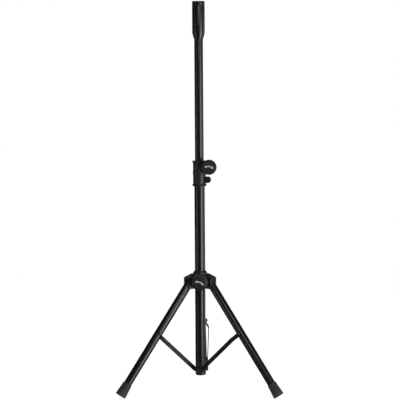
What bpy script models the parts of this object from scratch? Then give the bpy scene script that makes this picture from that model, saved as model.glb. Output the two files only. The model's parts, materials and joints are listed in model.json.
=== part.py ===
"""Compact tripod speaker stand, one object per sub-part, metres, +Z up.

A telescoping column stands on three folding legs. The legs hinge on a hub that slides on
the lower tube, and a flat brace ties each leg to a fitting at the foot of the column.
The origin is on the floor, under the middle of the stand's bounding box.
"""

import math

import bmesh
import bpy
from mathutils import Matrix, Vector

GAP = 0.0003
ROUND = 28
SMALL_ROUND = 12
COLUMN_Y = -0.06145
ARMS = {"back": 90.0, "left": 210.0, "right": 330.0}

# Column and mast
TUBE_R = 0.0146
TUBE_BORE = 0.0131
TUBE_BOTTOM = 0.0795
TUBE_TOP = 0.6175
MAST_R = 0.0122
MAST_BORE = 0.0107
MAST_BOTTOM = 0.4600
MAST_TOP = 1.0700
SLEEVE_R = 0.0175
SLEEVE_BORE = 0.0160
SLEEVE_BOTTOM = 0.9951
SLEEVE_TOP = 1.0790
NECK_BOTTOM = 0.9799
STAND_TOP = 1.0833

# Fitting at the foot of the column
FOOT_FITTING_BOTTOM = 0.0398
SPIGOT_TOP = 0.1100
FITTING_RIVET_Z = 0.0950

# Clamp housing
HOUSING_BOTTOM = 0.5737
HOUSING_TOP = 0.6437
HOUSING_R = 0.01775
FLANGE_R = 0.0202
SLIT_HALF = 0.00125
CLAMP_X, CLAMP_Z = 0.0274, 0.6278
CLAMP_EAR_R = 0.0100
CLAMP_EAR_HALF = 0.0122
LOCK_X, LOCK_Z = 0.0241, 0.5907
LOCK_EAR_R = 0.0081
LOCK_EAR_HALF = 0.0125
CLAMP_KNOB_R = 0.02125
HUB_KNOB_R = 0.0225

# Hub
HUB_R = 0.0196
HUB_BORE = 0.0151
HUB_BOTTOM = 0.2870
HUB_SHOULDER = 0.3309
HUB_TOP = 0.3362
ARM_END = 0.0434
ARM_HALF = 0.0150
CHANNEL_HALF = 0.0116
CHANNEL_START = 0.0185
ROOF_START_R, ROOF_START_Z = 0.0200, 0.3276
ROOF_END_Z = 0.3188
ROOF_THICK = 0.0036
HUB_KNOB_Z = 0.3081
HUB_BOSS_R = 0.0100
HUB_BOSS_END = 0.0310

# Legs and feet
PIVOT_R, PIVOT_Z = 0.0301, 0.3091
LEG_ANGLE = math.radians(36.24)
LEG_LENGTH = 0.37272
LEG_R = 0.0112
LEG_BORE = 0.0100
LEG_START = 0.0120
PLUG_R = 0.0097
FOOT_LENGTH = 0.0380
FOOT_TOP_R = 0.0128
FOOT_END_R = 0.0152
RIVET_AT = 0.1719

# Braces
BRACE_FOOT_R, BRACE_FOOT_Z = 0.0100, 0.0550
BRACE_WIDTH = 0.0120
BRACE_THICK = 0.0020
BRACE_SIDE_LOW = 0.01835
BRACE_SIDE_HIGH = 0.0201
BRACE_SIDE_LEG = LEG_R + GAP + BRACE_THICK / 2
JOGGLE_START, JOGGLE_END = 0.0090, 0.0255
BOSS_FACE = BRACE_SIDE_LOW - BRACE_THICK / 2 - 0.0004

RIVET_X = PIVOT_R + RIVET_AT * math.sin(LEG_ANGLE)
RIVET_Z = PIVOT_Z - RIVET_AT * math.cos(LEG_ANGLE)
BRACE_LENGTH = math.hypot(RIVET_X - BRACE_FOOT_R, RIVET_Z - BRACE_FOOT_Z)
BRACE_ANGLE = math.atan2(RIVET_X - BRACE_FOOT_R, RIVET_Z - BRACE_FOOT_Z)

# Looks: base colour, roughness, metallic
BLACK_PAINT = ((0.012, 0.012, 0.013), 0.32, 0.6)
BLACK_STEEL = ((0.020, 0.020, 0.021), 0.38, 0.8)
BLACK_PLASTIC = ((0.018, 0.018, 0.019), 0.55, 0.0)
BLACK_RUBBER = ((0.030, 0.030, 0.031), 0.80, 0.0)
LABEL_GREY = ((0.055, 0.055, 0.058), 0.60, 0.0)
BRASS = ((0.55, 0.42, 0.18), 0.35, 1.0)

ALONG_Y = Matrix.Rotation(math.radians(90), 4, "X")


def clear_scene():
    for obj in list(bpy.data.objects):
        bpy.data.objects.remove(obj, do_unlink=True)


def finish_mesh(bm, name):
    """Outward faces, smooth round surfaces and sharp edges where faces turn by over 35 degrees."""
    bmesh.ops.recalc_face_normals(bm, faces=bm.faces)
    mesh = bpy.data.meshes.new(name)
    bm.to_mesh(mesh)
    bm.free()
    mesh.shade_smooth()
    mesh.set_sharp_from_angle(angle=math.radians(35))
    return mesh


def look_of(name, look):
    colour, roughness, metallic = look
    material = bpy.data.materials.new(name)
    material.use_nodes = True
    shader = material.node_tree.nodes["Principled BSDF"]
    shader.inputs["Base Color"].default_value = (*colour, 1.0)
    shader.inputs["Roughness"].default_value = roughness
    shader.inputs["Metallic"].default_value = metallic
    material.diffuse_color = (*colour, 1.0)
    return material


def place(name, mesh, look, parent, location=(0, 0, 0), rotation=(0, 0, 0)):
    """An object of this mesh with a material of its own."""
    obj = bpy.data.objects.new(name, mesh)
    bpy.context.scene.collection.objects.link(obj)
    obj.parent = parent
    obj.location = location
    obj.rotation_euler = rotation
    if not mesh.materials:
        mesh.materials.append(None)
    obj.material_slots[0].link = "OBJECT"
    obj.material_slots[0].material = look_of(name, look)
    return obj


def empty(name, parent=None, location=(0, 0, 0), rotation=(0, 0, 0)):
    obj = bpy.data.objects.new(name, None)
    bpy.context.scene.collection.objects.link(obj)
    obj.empty_display_size = 0.02
    obj.parent = parent
    obj.location = location
    obj.rotation_euler = rotation
    return obj


def turned(profile, segments=ROUND, flutes=0, depth=0.0):
    """A profile of (radius, height) spun round Z. It is closed by itself, or by ends on the axis.

    Points marked with a third value take shallow grip flutes cut to that share of depth.
    """
    bm = bmesh.new()
    rings = []
    for radius, height, *share in profile:
        if radius < 1e-7:
            rings.append([bm.verts.new((0, 0, height))])
            continue
        ring = []
        for k in range(segments):
            turn = 2 * math.pi * k / segments
            cut = depth * share[0] * (0.5 - 0.5 * math.cos(flutes * turn)) if share else 0.0
            x, y = (radius - cut) * math.cos(turn), (radius - cut) * math.sin(turn)
            ring.append(bm.verts.new((x, y, height)))
        rings.append(ring)
    pairs = list(zip(rings, rings[1:]))
    if len(rings[0]) > 1:
        pairs.append((rings[-1], rings[0]))
    for low, high in pairs:
        for k in range(segments):
            corners = [low[k % len(low)], low[(k + 1) % len(low)]]
            corners += [high[(k + 1) % len(high)], high[k % len(high)]]
            bm.faces.new(list(dict.fromkeys(corners)))
    return bm


def slab(outline, low, high):
    """An outline of (x, z) points pushed out along Y from low to high."""
    bm = bmesh.new()
    near = [bm.verts.new((x, low, z)) for x, z in outline]
    far = [bm.verts.new((x, high, z)) for x, z in outline]
    bm.faces.new(near)
    bm.faces.new(list(reversed(far)))
    for k in range(len(outline)):
        after = (k + 1) % len(outline)
        bm.faces.new((near[k], near[after], far[after], far[k]))
    bmesh.ops.recalc_face_normals(bm, faces=bm.faces)
    return bm


def rod(radius, low, high, centre=(0, 0, 0), along=None, segments=SMALL_ROUND, chamfer=0.0):
    """A round bar round Z from low to high, turned by along and moved to centre."""
    c = chamfer
    if c:
        profile = [(0, low), (radius - c, low), (radius, low + c)]
        profile += [(radius, high - c), (radius - c, high), (0, high)]
    else:
        profile = [(0, low), (radius, low), (radius, high), (0, high)]
    bm = turned(profile, segments)
    bm.transform(Matrix.Translation(Vector(centre)) @ (along or Matrix.Identity(4)))
    bmesh.ops.recalc_face_normals(bm, faces=bm.faces)
    return bm


def arc(centre, radius, start, end, steps):
    """Points of an arc in degrees from start to end."""
    turns = [math.radians(start + (end - start) * k / steps) for k in range(steps + 1)]
    return [(centre[0] + radius * math.cos(t), centre[1] + radius * math.sin(t)) for t in turns]


def carved(base, joins=(), cuts=(), solver="EXACT"):
    """The base with the joins added and the cuts taken away, as one closed mesh."""
    helpers = []
    for kind, shapes in (("UNION", joins), ("DIFFERENCE", cuts)):
        for shape in shapes:
            helper = bpy.data.objects.new("helper", finish_mesh(shape, "helper"))
            bpy.context.scene.collection.objects.link(helper)
            helpers.append((kind, helper))
    body = bpy.data.objects.new("body", finish_mesh(base, "body"))
    bpy.context.scene.collection.objects.link(body)
    for kind, helper in helpers:
        modifier = body.modifiers.new(kind, "BOOLEAN")
        modifier.operation = kind
        modifier.solver = solver
        modifier.object = helper
    graph = bpy.context.evaluated_depsgraph_get()
    mesh = bpy.data.meshes.new_from_object(body.evaluated_get(graph))
    for obj in [body] + [helper for _, helper in helpers]:
        bpy.data.objects.remove(obj, do_unlink=True)
    bm = bmesh.new()
    bm.from_mesh(mesh)
    return bm


def fastener_head(radius, low, high, segments=SMALL_ROUND):
    """A low domed head that rises from low to high."""
    rise = high - low
    profile = [(0, low), (radius, low), (radius, low + 0.35 * rise)]
    profile += [(0.86 * radius, low + 0.75 * rise), (0.55 * radius, high), (0, high)]
    return turned(profile, segments)


def lower_tube(stand):
    low, high = TUBE_BOTTOM, TUBE_TOP
    tube = turned([(TUBE_BORE, low), (TUBE_R, low), (TUBE_R, high), (TUBE_BORE, high)])
    hole = rod(0.0027, -0.020, -0.008, (0, 0, FITTING_RIVET_Z), ALONG_Y)
    mesh = finish_mesh(carved(tube, cuts=[hole]), "lower_tube")
    place("lower_tube", mesh, BLACK_PAINT, stand)


def bottom_fitting(stand):
    """A plug with three side bosses, one for each brace, and a hollow spigot inside the tube."""
    b = FOOT_FITTING_BOTTOM
    spigot = TUBE_BORE - GAP
    top = TUBE_BOTTOM - GAP
    profile = [(0, b), (0.0114, b), (0.0131, b + 0.0006), (0.0142, b + 0.0018), (TUBE_R, b + 0.0036)]
    profile += [(TUBE_R, top), (spigot, top), (spigot, SPIGOT_TOP), (0.0095, SPIGOT_TOP)]
    profile += [(0.0095, 0.0660), (0, 0.0660)]
    bosses = []
    holes = [rod(0.0027, -0.020, -0.008, (0, 0, FITTING_RIVET_Z), ALONG_Y)]
    for angle in ARMS.values():
        turn = Matrix.Rotation(math.radians(angle), 4, "Z")
        boss = rod(0.0065, 0.0030, BOSS_FACE, (BRACE_FOOT_R, 0, BRACE_FOOT_Z), ALONG_Y, 16, 0.0006)
        hole = rod(0.0028, 0.0080, 0.0200, (BRACE_FOOT_R, 0, BRACE_FOOT_Z), ALONG_Y)
        boss.transform(turn)
        hole.transform(turn)
        bosses.append(boss)
        holes.append(hole)
    mesh = finish_mesh(carved(turned(profile), bosses, holes), "bottom_fitting")
    place("bottom_fitting", mesh, BLACK_PLASTIC, stand)


def fitting_rivet(stand):
    """The blind rivet behind the column that holds the fitting in the tube."""
    head = fastener_head(0.0045, TUBE_R + GAP, TUBE_R + 0.0020)
    shank = rod(0.0024, 0.0090, TUBE_R + 0.0008)
    mesh = finish_mesh(carved(head, [shank]), "fitting_rivet")
    place("fitting_rivet", mesh, BLACK_STEEL, stand, (0, 0, FITTING_RIVET_Z), (math.radians(-90), 0, 0))


def brace_pins(arms):
    """The pin of each brace: a low head outside the brace and a shank into the fitting's boss."""
    outside = BRACE_SIDE_LOW + BRACE_THICK / 2 + GAP
    head = fastener_head(0.0050, outside, outside + 0.0013)
    shank = rod(0.0025, 0.0085, outside + 0.0005)
    mesh = finish_mesh(carved(head, [shank]), "brace_pin")
    for name, arm in arms.items():
        at = (BRACE_FOOT_R, 0, BRACE_FOOT_Z)
        place(f"brace_pin_{name}", mesh, BLACK_STEEL, arm, at, (math.radians(90), 0, 0))


def housing_profile():
    """The clamp housing's wall: two thin flanges, a raised band, and a bore that steps in to the mast."""
    low, high = HOUSING_BOTTOM, HOUSING_TOP
    step = TUBE_TOP + 0.0005
    outer = [(TUBE_R + GAP, low), (0.0187, low), (FLANGE_R, low + 0.0022), (HOUSING_R, low + 0.0070)]
    outer += [(HOUSING_R, 0.6040), (0.0184, 0.6065), (0.0184, 0.6155), (HOUSING_R, 0.6180)]
    outer += [(HOUSING_R, high - 0.0068), (FLANGE_R, high - 0.0026)]
    outer += [(FLANGE_R, high - 0.0012), (0.0186, high)]
    inner = [(MAST_R + 0.0010, high), (MAST_R + GAP, high - 0.0010)]
    inner += [(MAST_R + GAP, step), (TUBE_R + GAP, step)]
    return outer + inner


def ear(x, z, radius, half):
    """A round ear that reaches out from the housing's side and holds a cross bolt."""
    outline = [(0.0150, z - radius)] + arc((x, z), radius, -90, 90, 14) + [(0.0150, z + radius)]
    return slab(outline, -half, half)


def clamp_housing(stand):
    slit = slab([(0.0080, 0.56), (0.0450, 0.56), (0.0450, 0.66), (0.0080, 0.66)], -SLIT_HALF, SLIT_HALF)
    ears = [
        ear(CLAMP_X, CLAMP_Z, CLAMP_EAR_R, CLAMP_EAR_HALF),
        ear(LOCK_X, LOCK_Z, LOCK_EAR_R, LOCK_EAR_HALF),
    ]
    tube_bore = rod(TUBE_R + GAP, 0.56, TUBE_TOP + 0.0005, segments=ROUND)
    holes = [
        rod(0.0041, -0.03, 0.03, (CLAMP_X, 0, CLAMP_Z), ALONG_Y),
        rod(0.0031, -0.03, 0.03, (LOCK_X, 0, LOCK_Z), ALONG_Y),
    ]
    bm = carved(turned(housing_profile()), ears, [tube_bore, slit] + holes)
    place("clamp_housing", finish_mesh(bm, "clamp_housing"), BLACK_PLASTIC, stand)


def clamp_fasteners(stand):
    """The mast clamp's hex bolt and washer, and the socket bolt and nut that lock the housing."""
    back = CLAMP_EAR_HALF + GAP
    head = rod(0.0072, -back - 0.0050, -back, segments=6)
    shank = rod(0.0038, -back - 0.0020, 0.0300, segments=16, chamfer=0.0006)
    mesh = finish_mesh(carved(head, [shank]), "clamp_bolt")
    place("clamp_bolt", mesh, BLACK_STEEL, stand, (CLAMP_X, 0, CLAMP_Z), (math.radians(90), 0, 0))
    ring = [(0.0041, back), (0.0080, back), (0.0080, back + 0.0012), (0.0041, back + 0.0012)]
    mesh = finish_mesh(turned(ring, 16), "clamp_washer")
    place("clamp_washer", mesh, BLACK_STEEL, stand, (CLAMP_X, 0, CLAMP_Z), (math.radians(90), 0, 0))
    front = LOCK_EAR_HALF + GAP
    head = rod(0.0056, front, front + 0.0046, segments=16, chamfer=0.0006)
    shank = rod(0.0028, -0.0190, front + 0.0010)
    socket = rod(0.0029, front + 0.0018, front + 0.0080, segments=6)
    mesh = finish_mesh(carved(head, [shank], [socket]), "lower_clamp_bolt")
    place("lower_clamp_bolt", mesh, BLACK_STEEL, stand, (LOCK_X, 0, LOCK_Z), (math.radians(90), 0, 0))
    nut = rod(0.0058, -front - 0.0045, -front, segments=6)
    mesh = finish_mesh(carved(nut, cuts=[rod(0.0031, -0.03, 0)]), "lower_clamp_nut")
    place("lower_clamp_nut", mesh, BLACK_STEEL, stand, (LOCK_X, 0, LOCK_Z), (math.radians(90), 0, 0))


def mast(stand):
    """The mast tube, the wider pole sleeve at its top with its cap, and the guide at its lower end."""
    group = empty("mast", stand)
    tube = [(MAST_BORE, MAST_BOTTOM), (MAST_R, MAST_BOTTOM), (MAST_R, MAST_TOP), (MAST_BORE, MAST_TOP)]
    place("upper_tube", finish_mesh(turned(tube), "upper_tube"), BLACK_PAINT, group)
    neck = MAST_R + GAP
    sleeve = [(neck, NECK_BOTTOM), (neck + 0.0007, NECK_BOTTOM)]
    sleeve += [(SLEEVE_R - 0.0006, SLEEVE_BOTTOM - 0.0016), (SLEEVE_R, SLEEVE_BOTTOM + 0.0006)]
    sleeve += [(SLEEVE_R, SLEEVE_TOP), (SLEEVE_BORE, SLEEVE_TOP)]
    sleeve += [(SLEEVE_BORE, SLEEVE_BOTTOM + 0.0030), (neck, SLEEVE_BOTTOM - 0.0010)]
    place("top_adapter", finish_mesh(turned(sleeve), "top_adapter"), BLACK_PAINT, group)
    skirt = SLEEVE_BORE - GAP
    rim = SLEEVE_TOP + GAP
    cap = [(0, STAND_TOP), (0.0160, STAND_TOP), (0.0171, STAND_TOP - 0.0006)]
    cap += [(SLEEVE_R, STAND_TOP - 0.0018), (SLEEVE_R, rim), (skirt, rim)]
    cap += [(skirt, 1.0620), (MAST_R + 0.0006, 1.0620)]
    cap += [(MAST_R + 0.0006, 1.0775), (0, 1.0775)]
    place("top_cap", finish_mesh(turned(cap), "top_cap"), BLACK_PLASTIC, group)
    low = MAST_BOTTOM - GAP
    guide = [(0, low - 0.0120), (TUBE_BORE - 0.0009, low - 0.0120), (TUBE_BORE - GAP, low - 0.0108)]
    guide += [(TUBE_BORE - GAP, low), (MAST_BORE - GAP, low)]
    guide += [(MAST_BORE - GAP, low + 0.0150), (0, low + 0.0150)]
    place("mast_guide", finish_mesh(turned(guide), "mast_guide"), BLACK_PLASTIC, group)


def knob_mesh(name, radius, stem_start, face_start, face_end, label_r, shoulder, bore):
    """A round hand knob: fluted grip, narrow stem, label recess in front, blind bore (radius, end)."""
    recess = face_end - 0.0012
    widest = face_start + 0.55 * (face_end - shoulder - face_start)
    profile = [(0, stem_start), (0.0090, stem_start), (0.0096, face_start)]
    profile += [(radius - 0.0035, face_start), (radius - 0.0006, face_start + 0.0022, 1.0)]
    profile += [(radius, widest, 1.0), (radius - 0.0004, face_end - shoulder, 0.6)]
    profile += [(label_r + 0.0012, face_end), (label_r + GAP, face_end)]
    profile += [(label_r + GAP, recess), (0, recess)]
    cut = rod(bore[0], stem_start - 0.001, bore[1], segments=16)
    return finish_mesh(carved(turned(profile, 40, flutes=10, depth=0.0007), cuts=[cut]), name)


def label_disc(radius, low, high):
    """A faintly domed disc that fills the recess in a knob's face."""
    profile = [(0, low), (radius, low), (radius, high - 0.0004), (radius - 0.0006, high - 0.0001)]
    profile += [(0.6 * radius, high), (0, high)]
    return turned(profile)


def clamp_knob(stand):
    """The mast clamp's knob, its threaded insert and its label disc, on the cross bolt's axis."""
    axis = empty("clamp_knob_axis", stand, (CLAMP_X, 0, CLAMP_Z), (math.radians(90), 0, 0))
    start = CLAMP_EAR_HALF + GAP + 0.0012 + GAP
    insert_r = 0.0066
    bore = (insert_r + GAP, 0.0312)
    knob = knob_mesh("clamp_knob", CLAMP_KNOB_R, start, 0.0205, 0.0360, 0.0184, 0.0016, bore)
    place("clamp_knob", knob, BLACK_PLASTIC, axis)
    ring = [(0.0041, start + GAP), (insert_r, start + GAP), (insert_r, 0.0309), (0.0041, 0.0309)]
    place("clamp_knob_insert", finish_mesh(turned(ring, 16), "clamp_knob_insert"), BRASS, axis)
    disc = label_disc(0.0184, 0.0348 + GAP, 0.0358)
    place("clamp_knob_cap", finish_mesh(disc, "clamp_knob_cap"), LABEL_GREY, axis)


def hub_arm(angle):
    """One solid arm of the hub, with a roof that slopes down towards its end."""
    low = HUB_BOTTOM + 0.0016
    outline = [(0.0100, low), (ARM_END - 0.0015, low), (ARM_END, low + 0.0015)]
    outline += [(ARM_END, ROOF_END_Z - 0.0008), (ARM_END - 0.0008, ROOF_END_Z + 0.0003)]
    outline += [(ROOF_START_R, ROOF_START_Z), (0.0100, ROOF_START_Z)]
    bm = slab(outline, -ARM_HALF, ARM_HALF)
    bm.transform(Matrix.Rotation(math.radians(angle), 4, "Z"))
    return bm


def hub_channel(angle):
    """The slot in an arm where the leg swings, open below and at the arm's end."""
    slope = (ROOF_START_Z - ROOF_END_Z) / (ARM_END - ROOF_START_R)
    far = ARM_END + 0.005
    outline = [(CHANNEL_START, HUB_BOTTOM - 0.005), (far, HUB_BOTTOM - 0.005)]
    outline += [(far, ROOF_END_Z - ROOF_THICK - 0.005 * slope)]
    outline += [(0.0245, ROOF_START_Z - ROOF_THICK - 0.0045 * slope), (CHANNEL_START, 0.3190)]
    bm = slab(outline, -CHANNEL_HALF, CHANNEL_HALF)
    bm.transform(Matrix.Rotation(math.radians(angle), 4, "Z"))
    return bm


def hub_body(group):
    low, top = HUB_BOTTOM, HUB_TOP
    core = [(0, low), (HUB_R - 0.0010, low), (HUB_R, low + 0.0010), (HUB_R, HUB_SHOULDER)]
    core += [(0.0163, top - 0.0006), (0.0158, top), (0, top)]
    boss = rod(HUB_BOSS_R, 0.0120, HUB_BOSS_END, (0, 0, HUB_KNOB_Z), ALONG_Y, 20, 0.0006)
    cuts = [rod(HUB_BORE, 0.25, 0.36, segments=ROUND)]
    cuts += [hub_channel(angle) for angle in ARMS.values()]
    cuts += [rod(0.0073, 0.0100, 0.0400, (0, 0, HUB_KNOB_Z), ALONG_Y, 16)]
    for angle in ARMS.values():
        hole = rod(0.0033, -0.020, 0.020, (PIVOT_R, 0, PIVOT_Z), ALONG_Y)
        hole.transform(Matrix.Rotation(math.radians(angle), 4, "Z"))
        cuts.append(hole)
    arms = [hub_arm(angle) for angle in ARMS.values()]
    bm = carved(turned(core), arms + [boss], cuts, "MANIFOLD")
    place("hub_body", finish_mesh(bm, "hub_body"), BLACK_PLASTIC, group)


def hub_clamp(group):
    """The brass insert in the hub's boss and the pad that presses on the column."""
    turn = (math.radians(90), 0, 0)
    ring = [(0.0041, 0.0178), (0.0070, 0.0178), (0.0070, 0.0307), (0.0041, 0.0307)]
    at = (0, 0, HUB_KNOB_Z)
    place("hub_insert", finish_mesh(turned(ring, 16), "hub_insert"), BRASS, group, at, turn)
    pad = rod(0.0069, TUBE_R + GAP, 0.0174, segments=16, chamfer=0.0004)
    place("hub_pad", finish_mesh(pad, "hub_pad"), BLACK_PLASTIC, group, at, turn)


def hub_knob(group):
    axis = empty("hub_knob_axis", group, (0, 0, HUB_KNOB_Z), (math.radians(90), 0, 0))
    knob = knob_mesh("hub_knob", HUB_KNOB_R, 0.0313, 0.0355, 0.0520, 0.0158, 0.0042, (0.0041, 0.0464))
    place("hub_knob", knob, BLACK_PLASTIC, axis)
    stud = rod(0.0038, 0.0177, 0.0460, segments=16, chamfer=0.0006)
    place("hub_knob_stud", finish_mesh(stud, "hub_knob_stud"), BLACK_STEEL, axis)
    disc = label_disc(0.0158, 0.0508 + GAP, 0.0518)
    place("hub_knob_cap", finish_mesh(disc, "hub_knob_cap"), LABEL_GREY, axis)


def leg_bolts(arms):
    """The bolt and nut on which each leg swings in its arm of the hub."""
    head = fastener_head(0.0052, ARM_HALF + GAP, ARM_HALF + 0.0028)
    shank = rod(0.0030, -0.0192, ARM_HALF + 0.0010)
    bolt = finish_mesh(carved(head, [shank]), "leg_bolt")
    nut = rod(0.0056, -ARM_HALF - GAP - 0.0036, -ARM_HALF - GAP, segments=6)
    nut = finish_mesh(carved(nut, cuts=[rod(0.0033, -0.03, 0)]), "leg_nut")
    for name, arm in arms.items():
        at = (PIVOT_R, 0, PIVOT_Z)
        turn = (math.radians(90), 0, 0)
        place(f"leg_bolt_{name}", bolt, BLACK_STEEL, arm, at, turn)
        place(f"leg_nut_{name}", nut, BLACK_STEEL, arm, at, turn)


def leg_tube_mesh():
    """A tube that hangs from the leg's pivot along -Z, with a cross hole for the brace's rivet."""
    top, end = -LEG_START, -(LEG_LENGTH - 0.0060)
    tube = turned([(LEG_BORE, end), (LEG_R, end), (LEG_R, top), (LEG_BORE, top)])
    hole = rod(0.0027, -0.020, 0.020, (0, 0, -RIVET_AT), ALONG_Y)
    return finish_mesh(carved(tube, cuts=[hole]), "leg_tube")


def leg_plug_mesh():
    """The moulded pivot end of a leg: a round-topped block with a spigot inside the tube."""
    half, radius = CHANNEL_HALF - GAP, PLUG_R
    low = -(LEG_START - GAP)
    block = slab(arc((0, 0), radius, 0, 180, 16) + [(-radius, low), (radius, low)], -half, half)
    block = carved(block, [rod(LEG_BORE - GAP, -0.0360, -0.0060, segments=20, chamfer=0.0008)])
    hole = rod(0.0033, -0.020, 0.020, (0, 0, 0), ALONG_Y)
    return finish_mesh(carved(block, cuts=[hole]), "leg_plug")


def foot_mesh():
    """A rubber cup round the leg's end that flares to a wide flat sole."""
    end = -LEG_LENGTH
    top = end + FOOT_LENGTH
    bore = LEG_R + GAP
    profile = [(0, end), (FOOT_END_R - 0.0012, end), (FOOT_END_R - 0.0003, end + 0.0004)]
    profile += [(FOOT_END_R, end + 0.0014), (FOOT_END_R - 0.0002, end + 0.0060)]
    profile += [(FOOT_TOP_R + 0.0004, top - 0.0080), (FOOT_TOP_R, top - 0.0006)]
    profile += [(FOOT_TOP_R - 0.0006, top)]
    profile += [(bore, top), (bore, end + 0.0055), (0, end + 0.0055)]
    return finish_mesh(turned(profile), "foot")


def leg_rivet_mesh():
    """The leg's half of the brace rivet: a head on the far side and a shank through the tube."""
    head = fastener_head(0.0046, LEG_R + GAP, LEG_R + 0.0026)
    shank = rod(0.0024, -LEG_R, LEG_R + 0.0010)
    return finish_mesh(carved(head, [shank]), "leg_rivet")


def legs(arms):
    tube, plug, foot, rivet = leg_tube_mesh(), leg_plug_mesh(), foot_mesh(), leg_rivet_mesh()
    for name, arm in arms.items():
        pivot = empty(f"leg_pivot_{name}", arm, (PIVOT_R, 0, PIVOT_Z), (0, -LEG_ANGLE, 0))
        place(f"leg_tube_{name}", tube, BLACK_PAINT, pivot)
        place(f"leg_plug_{name}", plug, BLACK_PLASTIC, pivot)
        place(f"foot_{name}", foot, BLACK_RUBBER, pivot)
        at, turn = (0, 0, -RIVET_AT), (math.radians(-90), 0, 0)
        place(f"leg_rivet_{name}", rivet, BLACK_STEEL, pivot, at, turn)


def brace_side(along):
    """How far the brace's middle plane stands to the right of the leg's plane, this far up it."""
    from_leg = BRACE_LENGTH - along
    if from_leg <= JOGGLE_START:
        return BRACE_SIDE_LEG
    if from_leg < JOGGLE_END:
        share = (from_leg - JOGGLE_START) / (JOGGLE_END - JOGGLE_START)
        return BRACE_SIDE_LEG + (BRACE_SIDE_HIGH - BRACE_SIDE_LEG) * share
    straight = BRACE_LENGTH - JOGGLE_END - 0.012
    share = min(1.0, (from_leg - JOGGLE_END) / straight)
    return BRACE_SIDE_HIGH + (BRACE_SIDE_LOW - BRACE_SIDE_HIGH) * share


def brace_stations():
    """Distances along the brace where its shape changes, each with half the strip's width there."""
    half = BRACE_WIDTH / 2
    turns = [math.radians(90 * k / 6) for k in range(7)]
    low = [(-half * math.cos(t), half * math.sin(t)) for t in turns]
    middle = [(0.012, half), (BRACE_LENGTH - JOGGLE_END, half), (BRACE_LENGTH - JOGGLE_START, half)]
    high = [(BRACE_LENGTH + half * math.sin(t), half * math.cos(t)) for t in turns]
    return low + middle + high


def brace_mesh():
    """A flat strip with round ends, bent sideways near its upper end, with a hole at each end."""
    bm = bmesh.new()
    rows = []
    for along, half in brace_stations():
        side = brace_side(along)
        faces = (-side - BRACE_THICK / 2, -side + BRACE_THICK / 2)
        corners = [(x, y) for y in faces for x in (-half, half)]
        if half < 1e-7:
            corners = [corners[0], corners[2]]
        rows.append([bm.verts.new((x, y, along)) for x, y in corners])
    for row, after in zip(rows, rows[1:]):
        a = row if len(row) == 4 else [row[0], row[0], row[1], row[1]]
        b = after if len(after) == 4 else [after[0], after[0], after[1], after[1]]
        for i, j in ((0, 1), (1, 3), (3, 2), (2, 0)):
            corners = list(dict.fromkeys([a[i], a[j], b[j], b[i]]))
            if len(corners) > 2:
                bm.faces.new(corners)
    low_hole = rod(0.0028, 0.010, 0.030, (0, 0, 0), ALONG_Y)
    high_hole = rod(0.0027, 0.005, 0.020, (0, 0, BRACE_LENGTH), ALONG_Y)
    return finish_mesh(carved(bm, cuts=[low_hole, high_hole]), "brace")


def brace_rivet_mesh():
    """The brace's half of the leg rivet: a domed head outside the strip and a stub through it."""
    outside = BRACE_SIDE_LEG + BRACE_THICK / 2 + GAP
    head = fastener_head(0.0048, outside, outside + 0.0026)
    stub = rod(0.0024, BRACE_SIDE_LEG - BRACE_THICK / 2 + 0.0001, outside + 0.0010)
    return finish_mesh(carved(head, [stub]), "brace_rivet")


def braces(arms):
    strip, rivet = brace_mesh(), brace_rivet_mesh()
    for name, arm in arms.items():
        at = (BRACE_FOOT_R, 0, BRACE_FOOT_Z)
        pivot = empty(f"brace_pivot_{name}", arm, at, (0, BRACE_ANGLE, 0))
        place(f"brace_{name}", strip, BLACK_PAINT, pivot)
        at, turn = (0, 0, BRACE_LENGTH), (math.radians(90), 0, 0)
        place(f"brace_rivet_{name}", rivet, BLACK_STEEL, pivot, at, turn)


def main():
    clear_scene()
    stand = empty("stand", None, (0, COLUMN_Y, 0))
    hub = empty("hub", stand)
    arms = {}
    for name, angle in ARMS.items():
        arms[name] = empty(f"arm_{name}", stand, (0, 0, 0), (0, 0, math.radians(angle)))
    lower_tube(stand)
    bottom_fitting(stand)
    fitting_rivet(stand)
    brace_pins(arms)
    clamp_housing(stand)
    clamp_fasteners(stand)
    mast(stand)
    clamp_knob(stand)
    hub_body(hub)
    hub_clamp(hub)
    hub_knob(hub)
    leg_bolts(arms)
    legs(arms)
    braces(arms)


main()
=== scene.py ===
import json
import math

import bmesh
import bpy
from mathutils import Matrix, Vector


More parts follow.
